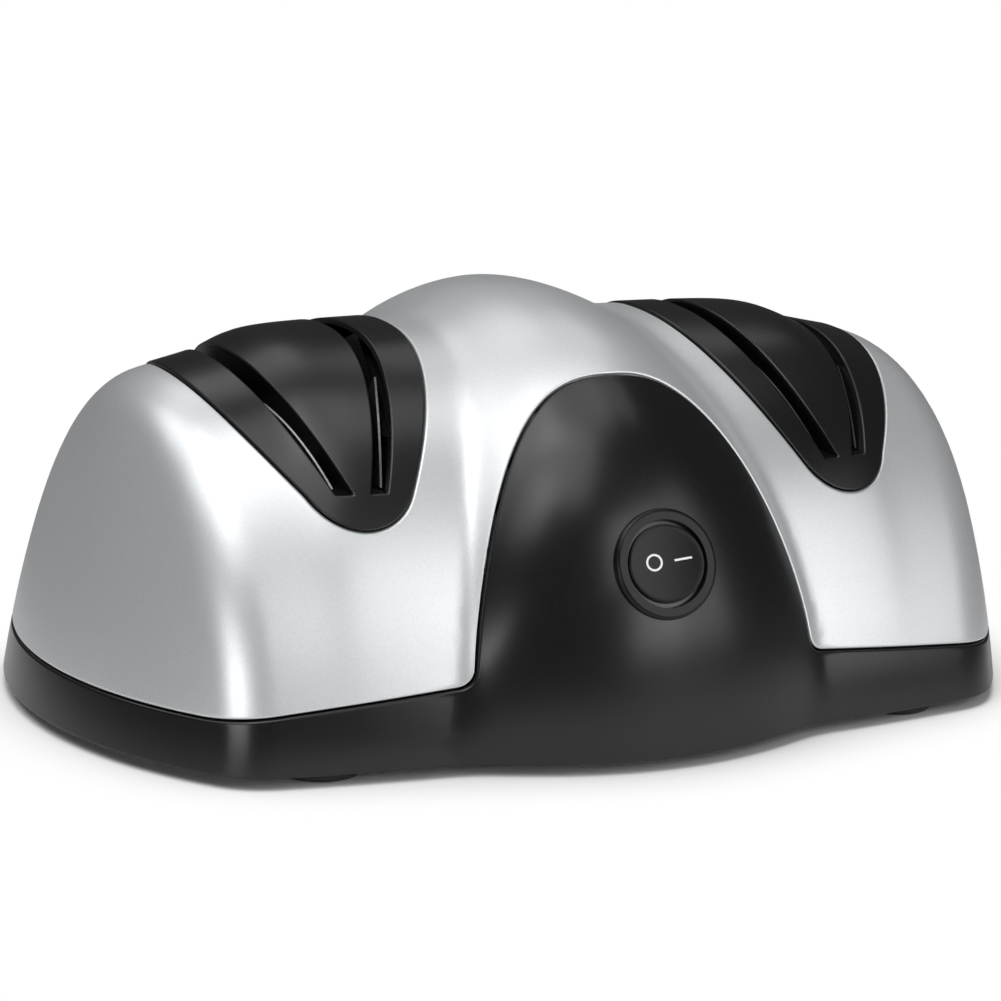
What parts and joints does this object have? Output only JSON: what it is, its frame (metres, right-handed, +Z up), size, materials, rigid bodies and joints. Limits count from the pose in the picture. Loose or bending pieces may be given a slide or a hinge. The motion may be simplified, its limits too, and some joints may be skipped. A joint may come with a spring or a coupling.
{
  "type": "electric knife sharpener",
  "caption": "Countertop electric knife sharpener: a silver cover over a black base, leaning blade slots in each shoulder, a round rocker switch on a bulging front arch.",
  "frame": {"origin": "on the table, under the middle of the housing", "axes": "+X to the user's right along the housing's length and the motor's shaft, -Y towards the user and the switch, +Z up"},
  "size_m": [0.2192, 0.1566, 0.0857],
  "materials": {
    "cover_silver": "satin silver paint on moulded plastic",
    "black_plastic": "fine-textured satin black moulded plastic",
    "spring_steel": "polished spring steel",
    "switch_black": "smooth semi-gloss black nylon",
    "tinned_brass": "tinned brass tabs",
    "laminated_steel": "stacked electrical steel sheets",
    "pale_nylon": "natural nylon",
    "enamelled_copper": "enamelled copper wire",
    "zinc_steel": "bright zinc plate",
    "sintered_bronze": "oil-filled sintered bronze",
    "foot_rubber": "matt black rubber",
    "rotor_aluminium": "die-cast end rings on a laminated core",
    "shaft_steel": "ground steel",
    "fan_plastic": "dark grey nylon",
    "coarse_abrasive": "dark grey vitrified abrasive",
    "fine_abrasive": "pale vitrified abrasive"
  },
  "bodies": {
    "housing": {"top_cover": "cover_silver", "base_housing": "black_plastic", "slot_insert_left": "black_plastic", "slot_insert_right": "black_plastic", "guide_springs_left": "spring_steel", "guide_springs_right": "spring_steel", "switch_housing": "switch_black", "switch_terminals": "tinned_brass", "motor_stator": "laminated_steel", "coil_bobbin": "pale_nylon", "coil_winding": "enamelled_copper", "bearing_bracket_left": "zinc_steel", "bearing_bracket_right": "zinc_steel", "bearing_bush_left": "sintered_bronze", "bearing_bush_right": "sintered_bronze", "stator_bolts": "zinc_steel", "motor_mount_plate": "zinc_steel", "motor_grommets": "foot_rubber", "motor_screws": "zinc_steel", "housing_screws": "zinc_steel", "cord_gland": "foot_rubber", "terminal_block": "pale_nylon", "foot_front_left": "foot_rubber", "foot_front_right": "foot_rubber", "foot_back_left": "foot_rubber", "foot_back_right": "foot_rubber"},
    "rotor": {"rotor_core": "rotor_aluminium", "motor_shaft": "shaft_steel", "cooling_fan": "fan_plastic", "wheel_hub_left": "shaft_steel", "wheel_hub_right": "shaft_steel", "coarse_wheel": "coarse_abrasive", "fine_wheel": "fine_abrasive", "wheel_washers": "shaft_steel", "wheel_nuts": "zinc_steel"},
    "rocker": {"switch_rocker": "switch_black"}
  },
  "joints": [
    {"name": "rotor_spin", "type": "hinge", "parent": "housing", "child": "rotor", "pos_m": [0, 0, 0.036], "axis": [1, 0, 0], "continuous": true},
    {"name": "rocker_press", "type": "hinge", "parent": "housing", "child": "rocker", "pos_m": [0, -0.07103, 0.04065], "axis": [0, 0.342, 0.9397], "range_deg": [0, 20]}
  ]
}
